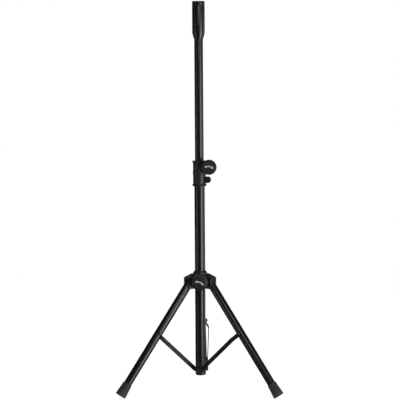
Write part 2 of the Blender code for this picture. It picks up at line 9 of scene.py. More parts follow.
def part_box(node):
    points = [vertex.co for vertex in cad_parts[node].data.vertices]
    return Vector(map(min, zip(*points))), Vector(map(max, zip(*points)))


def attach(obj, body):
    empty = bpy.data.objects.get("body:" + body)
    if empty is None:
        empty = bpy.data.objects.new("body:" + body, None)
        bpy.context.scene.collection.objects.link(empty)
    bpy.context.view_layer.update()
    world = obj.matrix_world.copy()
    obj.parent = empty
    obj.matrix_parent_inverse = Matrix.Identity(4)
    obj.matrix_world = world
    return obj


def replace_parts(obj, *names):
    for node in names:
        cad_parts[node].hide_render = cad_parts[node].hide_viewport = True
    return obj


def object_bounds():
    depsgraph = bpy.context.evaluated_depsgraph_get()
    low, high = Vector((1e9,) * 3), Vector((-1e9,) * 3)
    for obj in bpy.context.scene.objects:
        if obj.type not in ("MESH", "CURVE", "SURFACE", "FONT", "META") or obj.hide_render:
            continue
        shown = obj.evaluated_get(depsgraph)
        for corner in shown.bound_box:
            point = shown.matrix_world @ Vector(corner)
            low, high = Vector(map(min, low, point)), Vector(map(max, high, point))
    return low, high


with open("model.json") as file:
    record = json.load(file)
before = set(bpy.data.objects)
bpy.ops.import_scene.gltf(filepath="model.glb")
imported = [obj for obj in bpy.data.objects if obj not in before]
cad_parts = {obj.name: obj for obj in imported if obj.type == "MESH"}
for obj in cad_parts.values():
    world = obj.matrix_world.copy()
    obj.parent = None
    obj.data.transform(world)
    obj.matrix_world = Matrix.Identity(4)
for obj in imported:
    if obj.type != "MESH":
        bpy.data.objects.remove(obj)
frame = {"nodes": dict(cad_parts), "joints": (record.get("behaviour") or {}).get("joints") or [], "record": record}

CAD_LOW, CAD_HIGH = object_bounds()

# ---- Where things are, from the frame ------------------------------------------------------

BODY_OF = {node: body for body, nodes in frame["record"]["behaviour"]["bodies"].items() for node in nodes}
PIVOT = {joint["name"]: Vector(joint["pos_m"]) for joint in frame["joints"] if "pos_m" in joint}
ARMS = {"back": 90.0, "left": 210.0, "right": 330.0}


def middle(node):
    low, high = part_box(node)
    return (low + high) / 2


def radius_of(node):
    low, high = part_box(node)
    return (high.x - low.x) / 2


def heights(node):
    low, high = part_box(node)
    return low.z, high.z


AXIS = Matrix.Translation((middle("lower_tube").x, middle("lower_tube").y, 0))
ALONG_Y = Matrix.Rotation(math.radians(90), 4, "X")      # turns +Z to -Y, towards the front
BACKWARDS = Matrix.Rotation(math.radians(-90), 4, "X")   # turns +Z to +Y, towards the back
GAP = 0.0003                                             # between pieces that fit one in the other
TUBE_R = radius_of("lower_tube")
TUBE_BORE = TUBE_R - 0.0015
TUBE_LOW, TUBE_HIGH = heights("lower_tube")
MAST_R = radius_of("upper_tube")
MAST_BORE = MAST_R - 0.0015
CLAMP_BOLT = PIVOT["clamp_knob_turn"]
LOCK_BOLT = middle("lower_clamp_bolt")
HUB_BOLT = PIVOT["hub_knob_turn"]

# ---- Mesh tools ----------------------------------------------------------------------------

ARC_STEP = math.radians(18)
FINE, MEDIUM = 96, 48       # sides of a round shape


def ramp(value):
    return min(1.0, max(0.0, value))


def about_z(degrees):
    return Matrix.Rotation(math.radians(degrees), 4, "Z")


def rounded(points, closed=True):
    """The polyline with each corner (x, y, radius) turned into an arc of that radius."""
    path = []
    for k, point in enumerate(points):
        corner = Vector(point[:2])
        radius = point[2] if len(point) > 2 else 0.0
        if not radius or (not closed and k in (0, len(points) - 1)):
            path.append(corner)
            continue
        before = Vector(points[k - 1][:2]) - corner
        after = Vector(points[(k + 1) % len(points)][:2]) - corner
        half = before.angle(after) / 2
        sweep = math.pi - 2 * half
        if sweep < 0.02:
            path.append(corner)
            continue
        reach = min(radius / math.tan(half), 0.49 * before.length, 0.49 * after.length)
        radius = reach * math.tan(half)
        before.normalize()
        after.normalize()
        centre = corner + (before + after).normalized() * (radius / math.sin(half))
        start, end = corner + before * reach - centre, corner + after * reach - centre
        steps = max(2, math.ceil(sweep / ARC_STEP))
        for i in range(steps + 1):
            a, b = math.sin(sweep * (1 - i / steps)), math.sin(sweep * i / steps)
            path.append(centre + (start * a + end * b) / math.sin(sweep))
    return path


def spin(profile, segments=FINE, cut=None):
    """A profile of (radius, height) turned round Z: a closed loop, or open with both ends on the axis.

    cut(radius, height, turn) gives how much deeper the surface lies there.
    """
    bm = bmesh.new()
    rings = []
    for radius, height in profile:
        if radius < 1e-7:
            rings.append([bm.verts.new((0, 0, height))])
            continue
        turns = [2 * math.pi * k / segments for k in range(segments)]
        radii = [radius - (cut(radius, height, t) if cut else 0.0) for t in turns]
        rings.append([bm.verts.new((r * math.cos(t), r * math.sin(t), height)) for r, t in zip(radii, turns)])
    pairs = list(zip(rings, rings[1:]))
    if len(rings[0]) > 1:
        pairs.append((rings[-1], rings[0]))
    for low, high in pairs:
        for k in range(segments):
            after = k + 1
            corners = [low[k % len(low)], low[after % len(low)], high[after % len(high)], high[k % len(high)]]
            bm.faces.new(list(dict.fromkeys(corners)))
    bmesh.ops.recalc_face_normals(bm, faces=bm.faces)
    return bm


def prism(outline, low, high):
    """An outline of (x, z) points pushed out along Y from low to high."""
    bm = bmesh.new()
    near = [bm.verts.new((x, low, z)) for x, z in outline]
    far = [bm.verts.new((x, high, z)) for x, z in outline]
    bm.faces.new(near)
    bm.faces.new(list(reversed(far)))
    for k in range(len(outline)):
        after = (k + 1) % len(outline)
        bm.faces.new((near[k], near[after], far[after], far[k]))
    bmesh.ops.recalc_face_normals(bm, faces=bm.faces)
    return bm


def bar(radius, low, high, turn=None, segments=MEDIUM, edge=0.0):
    """A round bar round Z from low to high, moved by turn."""
    profile = [(0, low), (radius, low, edge), (radius, high, edge), (0, high)]
    bm = spin(rounded(profile, closed=False), segments)
    if turn:
        bm.transform(turn)
    return bm


def arc(centre, radius, start, end, steps):
    """Points (x, z) on an arc round centre, from start to end degrees."""
    turns = [math.radians(start + (end - start) * k / steps) for k in range(steps + 1)]
    return [(centre[0] + radius * math.cos(t), centre[1] + radius * math.sin(t)) for t in turns]


def mesh_of(bm, name, sharp=35):
    mesh = bpy.data.meshes.new(name)
    bm.to_mesh(mesh)
    bm.free()
    mesh.shade_smooth()
    mesh.set_sharp_from_angle(angle=math.radians(sharp))
    return mesh


def carved(name, base, joins=(), cuts=(), keep=None, solver="EXACT", bevel=0.0, sharp=35):
    """The base with joins added, cuts taken away, only what lies in keep left, and its edges bevelled."""
    steps = [("UNION", b) for b in joins] + [("DIFFERENCE", b) for b in cuts]
    if keep:
        steps.append(("INTERSECT", keep))
    body = bpy.data.objects.new("body", mesh_of(base, "body"))
    bpy.context.scene.collection.objects.link(body)
    helpers = []
    for operation, bm in steps:
        helper = bpy.data.objects.new("helper", mesh_of(bm, "helper"))
        bpy.context.scene.collection.objects.link(helper)
        helpers.append(helper)
        modifier = body.modifiers.new(operation, "BOOLEAN")
        modifier.operation = operation
        modifier.solver = solver
        modifier.object = helper
    if bevel:
        modifier = body.modifiers.new("bevel", "BEVEL")
        modifier.width = bevel
        modifier.segments = 3
        modifier.limit_method = "ANGLE"
        modifier.angle_limit = math.radians(38)
        modifier.miter_outer = "MITER_ARC"
    mesh = bpy.data.meshes.new_from_object(body.evaluated_get(bpy.context.evaluated_depsgraph_get()))
    for obj in [body] + helpers:
        bpy.data.objects.remove(obj, do_unlink=True)
    mesh.name = name
    mesh.shade_smooth()
    mesh.set_sharp_from_angle(angle=math.radians(sharp))
    return mesh


# ---- Materials -----------------------------------------------------------------------------


class Finish:
    """A material's node graph, written a line at a time.

    Patterns run on the spot attribute, a piece's own coordinates before it was put in place;
    a CAD node has none, so its patterns run on object coordinates.
    """

    def __init__(self, name, on_cad=False):
        self.material = bpy.data.materials.new(name)
        self.material.use_nodes = True
        self.tree = self.material.node_tree
        self.shader = self.tree.nodes["Principled BSDF"]
        if on_cad:
            self.place = self.node("TexCoord").outputs["Object"]
        else:
            self.place = self.node("Attribute", {"attribute_name": "spot"}).outputs["Vector"]

    def node(self, kind, settings=(), **inputs):
        made = self.tree.nodes.new("ShaderNode" + kind)
        for key, value in dict(settings).items():
            setattr(made, key, value)
        for key, value in inputs.items():
            self.wire(made.inputs[key.replace("_", " ")], value)
        return made

    def wire(self, socket, value):
        if isinstance(value, bpy.types.NodeSocket):
            self.tree.links.new(value, socket)
        else:
            socket.default_value = value

    def sums(self, operation, a, b=0.0):
        made = self.tree.nodes.new("ShaderNodeMath")
        made.operation = operation
        self.wire(made.inputs[0], a)
        self.wire(made.inputs[1], b)
        return made.outputs[0]

    def span(self, value, low, high, to_low=0.0, to_high=1.0):
        """value mapped from low..high to to_low..to_high, with soft ends."""
        made = self.node("MapRange", {"interpolation_type": "SMOOTHSTEP"}, Value=value)
        for key, number in zip(("From Min", "From Max", "To Min", "To Max"), (low, high, to_low, to_high)):
            made.inputs[key].default_value = number
        return made.outputs["Result"]

    def noise(self, scale, detail=2.0, stretch=None):
        place = self.place
        if stretch:
            place = self.node("Mapping", Vector=place, Scale=stretch).outputs["Vector"]
        return self.node("TexNoise", Vector=place, Scale=scale, Detail=detail).outputs["Fac"]

    def cells(self, scale):
        return self.node("TexVoronoi", Vector=self.place, Scale=scale).outputs["Distance"]

    def blend(self, share, a, b):
        """Colour a where share is 0 and b where it is 1."""
        made = self.tree.nodes.new("ShaderNodeMix")
        made.data_type = "RGBA"
        for socket, value in ((made.inputs[0], share), (made.inputs[6], a), (made.inputs[7], b)):
            self.wire(socket, value)
        return made.outputs[2]

    def edges(self, radius):
        """1 along outer edges and 0 on flat surface, broken up by noise."""
        round_normal = self.node("Bevel", {"samples": 6}, Radius=radius).outputs["Normal"]
        normal = self.node("NewGeometry").outputs["Normal"]
        dot = self.node("VectorMath", {"operation": "DOT_PRODUCT"})
        self.wire(dot.inputs[0], round_normal)
        self.wire(dot.inputs[1], normal)
        edge = self.span(dot.outputs["Value"], 0.995, 0.88)
        return self.sums("MULTIPLY", edge, self.span(self.noise(170, 5), 0.42, 0.68))

    def bump(self, *layers):
        """Layers of (height, metres), one on the other."""
        normal = None
        for height, distance in layers:
            made = self.node("Bump", Height=height, Distance=distance)
            made.inputs["Strength"].default_value = 1.0
            if normal:
                self.wire(made.inputs["Normal"], normal)
            normal = made.outputs["Normal"]
        self.wire(self.shader.inputs["Normal"], normal)

    def set(self, **inputs):
        for key, value in inputs.items():
            self.wire(self.shader.inputs[key.replace("_", " ")], value)


def grey(value, warm=0.0):
    return (value * (1 + warm), value, value * (1 - warm), 1.0)


def paint_finish(name, rough_low, rough_high, gloss):
    """Black powder coat: soft orange peel, rubbed streaks along the part and bright worn edges."""
    f = Finish(name)
    cloud = f.noise(28, 5)
    streak = f.span(f.noise(420, 4, (1, 1, 0.012)), 0.60, 0.78)
    speck = f.span(f.noise(2600, 1), 0.66, 0.74)
    worn = f.edges(0.0007)
    base = f.blend(cloud, grey(0.0030), grey(0.0055))
    base = f.blend(f.sums("MULTIPLY", speck, 0.35), base, grey(0.03))
    base = f.blend(f.sums("MULTIPLY", streak, 0.25), base, grey(0.028))
    rough = f.sums("ADD", f.span(cloud, 0.3, 0.7, rough_low, rough_high), f.sums("MULTIPLY", streak, 0.08))
    f.set(Base_Color=f.blend(f.sums("MULTIPLY", worn, 0.55), base, grey(0.11)), Roughness=rough)
    f.set(Metallic=f.sums("MULTIPLY", worn, 0.5), Specular_IOR_Level=gloss)
    f.bump((f.noise(620, 2), 0.00003), (f.noise(2600, 2), 0.000006))
    return f.material


def plastic_finish(on_cad=False):
    """Moulded black plastic: spark-eroded grain, a faint flow of tone, and polished edges painted lighter in
    colour as a sheen.
    """
    f = Finish("black_plastic_grain", on_cad)
    cloud = f.noise(45, 4)
    grain = f.cells(1500)
    # worn marks the edges: their lower roughness is real polish, their lighter colour is a painted sheen
    worn = f.edges(0.0008)
    base = f.blend(cloud, grey(0.0055), grey(0.0095))
    base = f.blend(f.sums("MULTIPLY", f.span(grain, 0.2, 0.7), 0.25), base, grey(0.015))
    rough = f.sums("SUBTRACT", f.span(cloud, 0.3, 0.7, 0.42, 0.52), f.sums("MULTIPLY", worn, 0.14))
    # the edges' lighter base colour here is a painted sheen, not a colour the plastic has
    f.set(Base_Color=f.blend(f.sums("MULTIPLY", worn, 0.7), base, grey(0.035)), Roughness=rough)
    f.bump((f.noise(90, 2), 0.00006), (grain, 0.000035))
    return f.material


def rubber_finish():
    """Matt rubber with a fine tooth and pale dust that thickens towards the sole."""
    f = Finish("black_rubber_matt")
    cloud = f.noise(70, 5)
    tooth = f.noise(2100, 3)
    height = f.node("SeparateXYZ", Vector=f.place).outputs["Z"]
    dust = f.sums("MULTIPLY", f.span(height, -0.352, -0.373), f.span(f.noise(240, 5), 0.40, 0.66))
    base = f.blend(cloud, grey(0.016), grey(0.026))
    base = f.blend(f.sums("MULTIPLY", dust, 0.45), base, grey(0.075, 0.06))
    f.set(Base_Color=base, Roughness=f.span(tooth, 0.3, 0.7, 0.66, 0.84), Specular_IOR_Level=0.4)
    f.bump((f.noise(160, 2), 0.00008), (tooth, 0.00004))
    return f.material


def steel_finish(on_cad=False):
    """Black zinc on steel: thin, cloudy, and rubbed through to metal on the corners."""
    f = Finish("black_steel_zinc", on_cad)
    cloud = f.noise(240, 5)
    worn = f.edges(0.0006)
    base = f.blend(cloud, grey(0.030), grey(0.060, -0.02))
    f.set(Base_Color=f.blend(worn, base, grey(0.34, 0.01)), Metallic=0.85)
    f.set(Roughness=f.span(cloud, 0.3, 0.7, 0.26, 0.42))
    f.bump((f.noise(900, 3), 0.00002))
    return f.material


def brass_finish():
    """Turned brass with tool rings and a little tarnish."""
    f = Finish("brass_turned", on_cad=True)
    rings = f.noise(2400, 1, (0.02, 0.02, 1))
    tarnish = f.span(f.noise(260, 4), 0.45, 0.75)
    f.set(Base_Color=f.blend(tarnish, (0.62, 0.43, 0.16, 1), (0.30, 0.19, 0.07, 1)), Metallic=1.0)
    f.set(Roughness=f.span(rings, 0.3, 0.7, 0.24, 0.40))
    f.bump((rings, 0.00002))
    return f.material


def label_finish():
    """Dark grey printed film with a fine even speckle."""
    f = Finish("label_grey_film")
    speckle = f.noise(1900, 3)
    cloud = f.noise(80, 3)
    base = f.blend(speckle, grey(0.005), grey(0.011))
    f.set(Base_Color=f.blend(f.sums("MULTIPLY", cloud, 0.3), base, grey(0.016)))
    f.set(Roughness=f.span(speckle, 0.3, 0.7, 0.38, 0.46))
    f.bump((speckle, 0.00002))
    return f.material


def print_finish():
    """Pale grey ink, slightly thin in places."""
    f = Finish("label_grey_ink")
    thin = f.span(f.noise(900, 4), 0.52, 0.72)
    f.set(Base_Color=f.blend(f.sums("MULTIPLY", thin, 0.5), grey(0.34), grey(0.16)))
    f.set(Roughness=f.span(f.noise(1500, 2), 0.3, 0.7, 0.50, 0.64))
    f.bump((f.noise(1500, 2), 0.00001))
    return f.material


FINISH = {
    "black_paint": paint_finish("black_paint_satin", 0.25, 0.31, 0.5),
    "black_plastic": plastic_finish(),
    "black_rubber": rubber_finish(),
    "black_steel": steel_finish(),
    "label_grey": label_finish(),
}
CAD_FINISH = {
    "black_plastic": plastic_finish(on_cad=True),
    "black_steel": steel_finish(on_cad=True),
    "brass": brass_finish(),
}
STRIP_PAINT = paint_finish("black_paint_matt", 0.46, 0.54, 0.22)
PRINT = print_finish()


def placed(name, mesh, material, matrix, body):
    """An object of a copy of this mesh, put in place by its vertices, that rides on this body."""
    mesh = mesh.copy()
    mesh.name = name
    spot = mesh.attributes.new("spot", "FLOAT_VECTOR", "POINT")
    spot.data.foreach_set("vector", [c for vertex in mesh.vertices for c in vertex.co])
    mesh.transform(matrix)
    mesh.materials.clear()
    mesh.materials.append(material)
    obj = bpy.data.objects.new(name, mesh)
    bpy.context.scene.collection.objects.link(obj)
    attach(obj, body)
    return obj


def piece(node, mesh, slot, matrix=AXIS, finish=None):
    """A detailed piece that stands for one CAD node and rides where that node rides."""
    material = finish or FINISH[slot]
    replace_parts(placed(node + "_detail", mesh, material, matrix, BODY_OF[node]), node)


def refinish(node, slot):
    """A CAD node that keeps its own shape and gets a better material."""
    obj = frame["nodes"][node]
    for holder in obj.material_slots:
        holder.link = "OBJECT"
        holder.material = CAD_FINISH[slot]


# ---- Fasteners -----------------------------------------------------------------------------

RIVET_HOLE, PIN_HOLE, LEG_BOLT_HOLE = 0.0027, 0.0028, 0.0033     # radii
CLAMP_BOLT_HOLE, LOCK_BOLT_HOLE = 0.0041, 0.0031


def domed(name, radius, low, high, shank_r, shank_end):
    """A rivet: a domed head from low to high with a set edge, and a shank down to shank_end."""
    rise = high - low
    profile = [(0, shank_end), (shank_r, shank_end, 0.0003), (shank_r, low), (radius - 0.0001, low, 0.0002)]
    profile += [(radius, low + 0.30 * rise, 0.0003), (0.93 * radius, low + 0.52 * rise)]
    profile += [(0.80 * radius, low + 0.74 * rise), (0.60 * radius, low + 0.90 * rise)]
    profile += [(0.32 * radius, low + 0.985 * rise), (0, high)]
    return mesh_of(spin(rounded(profile, closed=False), MEDIUM), name)


def hex_head(name, radius, low, high, shank):
    """A hexagon head on a shank."""
    return carved(name, bar(radius, low, high, segments=6), [shank])


def hex_nut(name, radius, low, high, bore):
    """A hexagon nut with chamfered corners."""
    face, edge, rise = 0.98 * radius * math.cos(math.radians(30)), radius + 0.0002, 0.0009
    cone = [(0, low), (face, low), (edge, low + rise), (edge, high - rise), (face, high), (0, high)]
    hexagon = bar(radius, low, high, segments=6)
    return carved(name, spin(cone, MEDIUM), cuts=[bar(bore, low - 0.001, high + 0.001)], keep=hexagon)


# ---- Column --------------------------------------------------------------------------------


def tube(name, outer, inner, low, high, holes=()):
    """A round tube with rolled lips at both ends."""
    lip = 0.00045
    section = rounded([(inner, low, lip), (outer, low, lip), (outer, high, lip), (inner, high, lip)])
    bm = spin(section)
    return carved(name, bm, cuts=holes) if holes else mesh_of(bm, name)


FITTING_RIVET = Matrix.Translation((0, 0, middle("fitting_rivet").z))


def fitting_rivet_hole():
    return bar(RIVET_HOLE, -0.020, -0.008, FITTING_RIVET @ ALONG_Y)


def column():
    """The lower tube, and the rivet in its back that holds the foot fitting."""
    pipe = tube("lower_tube", TUBE_R, TUBE_BORE, TUBE_LOW, TUBE_HIGH, [fitting_rivet_hole()])
    piece("lower_tube", pipe, "black_paint")
    rivet = domed("fitting_rivet", 0.0045, TUBE_R + GAP, TUBE_R + 0.0020, 0.0024, 0.0090)
    piece("fitting_rivet", rivet, "black_steel", AXIS @ FITTING_RIVET @ BACKWARDS)


def on_arm(angle, at):
    """The column's frame of a cross pin of the arm at this angle: Z runs across the arm."""
    at = AXIS.inverted() @ at
    return about_z(angle) @ Matrix.Translation((at.xy.length, 0, at.z)) @ ALONG_Y


def foot_fitting():
    """The moulded plug at the column's foot, with a boss for each brace and a hollow spigot."""
    b, spigot_top = heights("bottom_fitting")
    top, spigot, groove = TUBE_LOW - GAP, TUBE_BORE - GAP, TUBE_R - 0.0004
    profile = [(0, b), (0.0045, b), (0.0050, b + 0.0006, 0.0003), (0.0056, b, 0.0003), (0.0114, b, 0.0008)]
    profile += [(0.0131, b + 0.0006, 0.001), (0.0142, b + 0.0018, 0.0012), (TUBE_R, b + 0.0036, 0.0015)]
    profile += [(TUBE_R, b + 0.0215, 0.0003), (groove, b + 0.0219, 0.0002), (groove, b + 0.0231, 0.0002)]
    profile += [(TUBE_R, b + 0.0235, 0.0003), (TUBE_R, top, 0.0004), (spigot, top, 0.0002)]
    profile += [(spigot, spigot_top, 0.0006), (0.0095, spigot_top, 0.0004), (0.0095, 0.0660), (0, 0.0660)]
    bosses, drills = [], [fitting_rivet_hole()]
    boss_end = BRACE_SIDE_LOW - BRACE_THICK / 2 - 0.0004
    for name, angle in ARMS.items():
        place = on_arm(angle, PIVOT["brace_turn_" + name])
        bosses.append(bar(0.0065, 0.0030, boss_end, place, 40, 0.0007))
        drills.append(bar(PIN_HOLE, 0.0080, 0.0200, place))
    bm = spin(rounded(profile, closed=False))
    piece("bottom_fitting", carved("bottom_fitting", bm, bosses, drills, bevel=0.0003), "black_plastic")


# ---- Clamp housing and its fasteners -------------------------------------------------------

HOUSING_R, FLANGE_R, BAND_R = 0.01775, 0.0202, 0.0184


def ear(x, z, radius, half):
    """A pair of clamping ears, joined, round a bolt at (x, z); the housing's slit parts them."""
    outline = [(0.0150, z - radius)] + arc((x, z), radius, -90, 90, 32) + [(0.0150, z + radius)]
    return prism(outline, -half, half)


def housing():
    """The split clamp housing: a flanged sleeve with a raised band and two pairs of ears."""
    low, high = heights("clamp_housing")
    step = TUBE_HIGH + 0.0005
    bore, small = TUBE_R + GAP, MAST_R + GAP
    profile = [(bore, low), (0.0187, low, 0.0005), (FLANGE_R, low + 0.0022, 0.0006)]
    profile += [(FLANGE_R, low + 0.0030, 0.0008), (HOUSING_R, low + 0.0070, 0.0050)]
    profile += [(HOUSING_R, 0.6040, 0.0012), (BAND_R, 0.6065, 0.0012), (BAND_R, 0.6155, 0.0012)]
    profile += [(HOUSING_R, 0.6180, 0.0012), (HOUSING_R, high - 0.0068, 0.0050)]
    profile += [(FLANGE_R, high - 0.0026, 0.0006), (FLANGE_R, high - 0.0012, 0.0005)]
    profile += [(0.0186, high, 0.0005), (MAST_R + 0.0010, high, 0.0003)]
    profile += [(small, high - 0.0010), (small, step), (bore, step)]
    slit = prism([(0.0080, 0.56), (0.0450, 0.56), (0.0450, 0.66), (0.0080, 0.66)], -0.00125, 0.00125)
    clamp, lock = (AXIS.inverted() @ at for at in (CLAMP_BOLT, LOCK_BOLT))
    ears = [ear(clamp.x, clamp.z, 0.0100, 0.0122), ear(lock.x, lock.z, 0.0081, 0.0125)]
    cuts = [bar(bore, 0.56, step, segments=FINE), slit]
    for radius, at in ((CLAMP_BOLT_HOLE, clamp), (LOCK_BOLT_HOLE, lock)):
        cuts.append(bar(radius, -0.03, 0.03, Matrix.Translation((at.x, 0, at.z)) @ ALONG_Y))
    mesh = carved("clamp_housing", spin(rounded(profile)), ears, cuts, bevel=0.0006)
    piece("clamp_housing", mesh, "black_plastic")


def cross_axis(at):
    """The frame of a cross bolt through this point: Z runs to the front."""
    return Matrix.Translation((at.x, AXIS.translation.y, at.z)) @ ALONG_Y


def housing_fasteners():
    """The knob's bolt and washer, and the knurled socket bolt with its nut below them."""
    place = cross_axis(CLAMP_BOLT)
    shank = bar(0.0038, -0.0145, 0.0300, edge=0.0006)
    head = hex_head("clamp_bolt", 0.0072, -0.0175, -0.0125, shank)
    piece("clamp_bolt", head, "black_steel", place)
    ring = [(CLAMP_BOLT_HOLE, 0.0125, 0.0002), (0.0080, 0.0125, 0.0003)]
    ring += [(0.0080, 0.0137, 0.0004), (CLAMP_BOLT_HOLE, 0.0137, 0.0003)]
    piece("clamp_washer", mesh_of(spin(rounded(ring), MEDIUM), "clamp_washer"), "black_steel", place)
    place = cross_axis(LOCK_BOLT)
    front = 0.0128

    def knurl(radius, height, turn):
        on_side = radius > 0.0052 and front + 0.0007 < height < front + 0.0038
        return 0.00012 * (1 + math.cos(36 * turn)) if on_side else 0.0

    side = [(0, -0.0190), (0.0028, -0.0190, 0.0004), (0.0028, front), (0.0056, front, 0.0003)]
    side += [(0.0056, front + 0.0008), (0.0056, front + 0.0037)]
    side += [(0.0056, front + 0.0046, 0.0007), (0, front + 0.0046)]
    head = spin(rounded(side, closed=False), 144, knurl)
    socket = bar(0.0029, front + 0.0018, front + 0.0080, segments=6)
    piece("lower_clamp_bolt", carved("lower_clamp_bolt", head, cuts=[socket]), "black_steel", place)
    nut = hex_nut("lower_clamp_nut", 0.0058, -front - 0.0045, -front, LOCK_BOLT_HOLE)
    piece("lower_clamp_nut", nut, "black_steel", place)


# ---- Mast ----------------------------------------------------------------------------------

SLEEVE_R, SLEEVE_BORE, SLEEVE_SHOULDER = radius_of("top_adapter"), 0.0160, 0.9951
SLEEVE_GROOVES = (1.0682, 1.0716, 1.0750)
SKIRT_LOW, CAP_UNDER, CAP_LOW, CAP_HIGH = 1.0620, 1.0775, 1.0793, heights("top_cap")[1]


def mast():
    """The upper tube, the wide sleeve on its top and the cap in the sleeve."""
    low, high = heights("upper_tube")
    piece("upper_tube", tube("upper_tube", MAST_R, MAST_BORE, low, high), "black_paint")
    refinish("mast_guide", "black_plastic")
    low, high = heights("top_adapter")
    neck, groove = MAST_R + GAP, SLEEVE_R - 0.0004
    profile = [(neck, low), (neck + 0.0007, low, 0.0003), (neck + 0.0010, low + 0.0022, 0.004)]
    profile += [(SLEEVE_R - 0.0006, SLEEVE_SHOULDER - 0.0016, 0.005)]
    profile += [(SLEEVE_R, SLEEVE_SHOULDER + 0.0016, 0.005)]
    for z in SLEEVE_GROOVES:
        profile += [(SLEEVE_R, z, 0.0002), (groove, z + 0.0003, 0.0002)]
        profile += [(groove, z + 0.0008, 0.0002), (SLEEVE_R, z + 0.0011, 0.0002)]
    profile += [(SLEEVE_R, high, 0.0004), (SLEEVE_BORE, high, 0.0003)]
    profile += [(SLEEVE_BORE, SLEEVE_SHOULDER + 0.0030), (neck, SLEEVE_SHOULDER - 0.0010)]
    piece("top_adapter", mesh_of(spin(rounded(profile)), "top_adapter"), "black_paint")
    skirt, seat = SLEEVE_BORE - GAP, MAST_R + 0.0006
    cap = [(0, CAP_HIGH - 0.0007), (0.0022, CAP_HIGH - 0.0007, 0.0002), (0.0026, CAP_HIGH - 0.0003, 0.0003)]
    cap += [(0.0105, CAP_HIGH - 0.0003, 0.0003), (0.0110, CAP_HIGH, 0.0003), (0.0160, CAP_HIGH, 0.0010)]
    cap += [(0.0171, CAP_HIGH - 0.0006, 0.0008), (SLEEVE_R, CAP_HIGH - 0.0018, 0.0008)]
    cap += [(SLEEVE_R, CAP_LOW, 0.0003), (skirt, CAP_LOW), (skirt, SKIRT_LOW, 0.0004)]
    cap += [(seat, SKIRT_LOW, 0.0004), (seat, CAP_UNDER), (0, CAP_UNDER)]
    piece("top_cap", mesh_of(spin(rounded(cap, closed=False)), "top_cap"), "black_plastic")


# ---- Knobs ---------------------------------------------------------------------------------

FLUTES, FLUTE_DEPTH = 24, 0.0004
ARROW_BEND, ARROW_HALF, ARROW_REACH = 0.0165, 0.0017, 27     # its reach in degrees each way
HEAD_HALF, HEAD_LENGTH = 0.0040, 0.0062


def knob(node, at, radius, stem, start, end, label_r, shoulder, bore):
    """A round hand knob with fine flutes, a stem behind and a recess in front."""
    rim, recess = end - shoulder, label_r + GAP

    def flutes(r, height, turn):
        side = ramp((r - radius + 0.0030) / 0.0022)
        run = ramp((rim + 0.0006 - height) / 0.0016) * ramp((height - start) / 0.0022)
        return FLUTE_DEPTH * side * run * (0.5 - 0.5 * math.cos(FLUTES * turn))

    profile = [(0, stem), (0.0090, stem, 0.0006), (0.0096, start, 0.0012), (radius - 0.0035, start, 0.0012)]
    profile += [(radius - 0.0006, start + 0.0022, 0.0020), (radius, start + 0.55 * (rim - start), 0.008)]
    profile += [(radius - 0.0004, rim, 0.0009), (label_r + 0.0012, end, 0.0006), (recess, end, 0.0002)]
    profile += [(recess, end - 0.0012), (0, end - 0.0012)]
    bm = spin(rounded(profile, closed=False), 8 * FLUTES, flutes)
    mesh = carved(node, bm, cuts=[bar(bore[0], stem - 0.001, bore[1])])
    piece(node, mesh, "black_plastic", cross_axis(at))


def label(node, at, radius, low, high, tilt):
    """The film disc in a knob's recess, with a plain two-headed turning arrow printed on it."""
    face = high - 0.00004
    profile = [(0, low), (radius, low), (radius, high - 0.0004, 0.0002)]
    profile += [(radius - 0.0006, high - 0.0001, 0.0002), (radius - 0.0014, high - 0.00016, 0.0002)]
    profile += [(0.6 * radius, face), (0, face)]
    piece(node, mesh_of(spin(rounded(profile, closed=False)), node), "label_grey", cross_axis(at))
    centre = Vector((0, -ARROW_BEND + 0.0028))
    outer = arc(centre, ARROW_BEND + ARROW_HALF, 90 + ARROW_REACH, 90 - ARROW_REACH, 30)
    inner = arc(centre, ARROW_BEND - ARROW_HALF, 90 - ARROW_REACH, 90 + ARROW_REACH, 30)
    tips = []
    for turn in (90 - ARROW_REACH, 90 + ARROW_REACH):
        side = math.radians(turn)
        out = Vector((math.cos(side), math.sin(side)))
        ahead = Vector((out.y, -out.x)) * (1 if turn < 90 else -1)
        corners = [centre + out * (ARROW_BEND + HEAD_HALF)]
        corners += [centre + out * ARROW_BEND + ahead * HEAD_LENGTH, centre + out * (ARROW_BEND - HEAD_HALF)]
        tips.append(corners if turn < 90 else list(reversed(corners)))
    outline = outer + [tuple(p) for p in tips[0]] + inner + [tuple(p) for p in tips[1]]
    bm = prism(outline, -(high + 0.00004), -(high - 0.00012))
    bm.transform(ALONG_Y.inverted())
    place = cross_axis(at) @ about_z(-tilt)
    placed(node + "_mark", mesh_of(bm, node + "_mark"), PRINT, place, BODY_OF[node])


def knobs():
    knob("clamp_knob", CLAMP_BOLT, 0.02125, 0.0140, 0.0205, 0.0360, 0.0184, 0.0016, (0.0069, 0.0312))
    label("clamp_knob_cap", CLAMP_BOLT, 0.0184, 0.0351, 0.0358, 8)
    refinish("clamp_knob_insert", "brass")
    knob("hub_knob", HUB_BOLT, 0.0225, 0.0313, 0.0355, 0.0520, 0.0158, 0.0042, (0.0041, 0.0464))
    label("hub_knob_cap", HUB_BOLT, 0.0158, 0.0511, 0.0518, 22)
    refinish("hub_knob_stud", "black_steel")


# ---- Hub -----------------------------------------------------------------------------------

HUB_LOW, HUB_HIGH = heights("hub_body")
HUB_R, HUB_BORE, HUB_SHOULDER = 0.0196, 0.0151, 0.3309
ROOF_START_R, ROOF_START, ROOF_END, ROOF_THICK = 0.0200, 0.3276, 0.3188, 0.0036
ARM_END, ARM_HALF, CHANNEL_HALF, CHANNEL_START = 0.0434, 0.0150, 0.0116, 0.0185


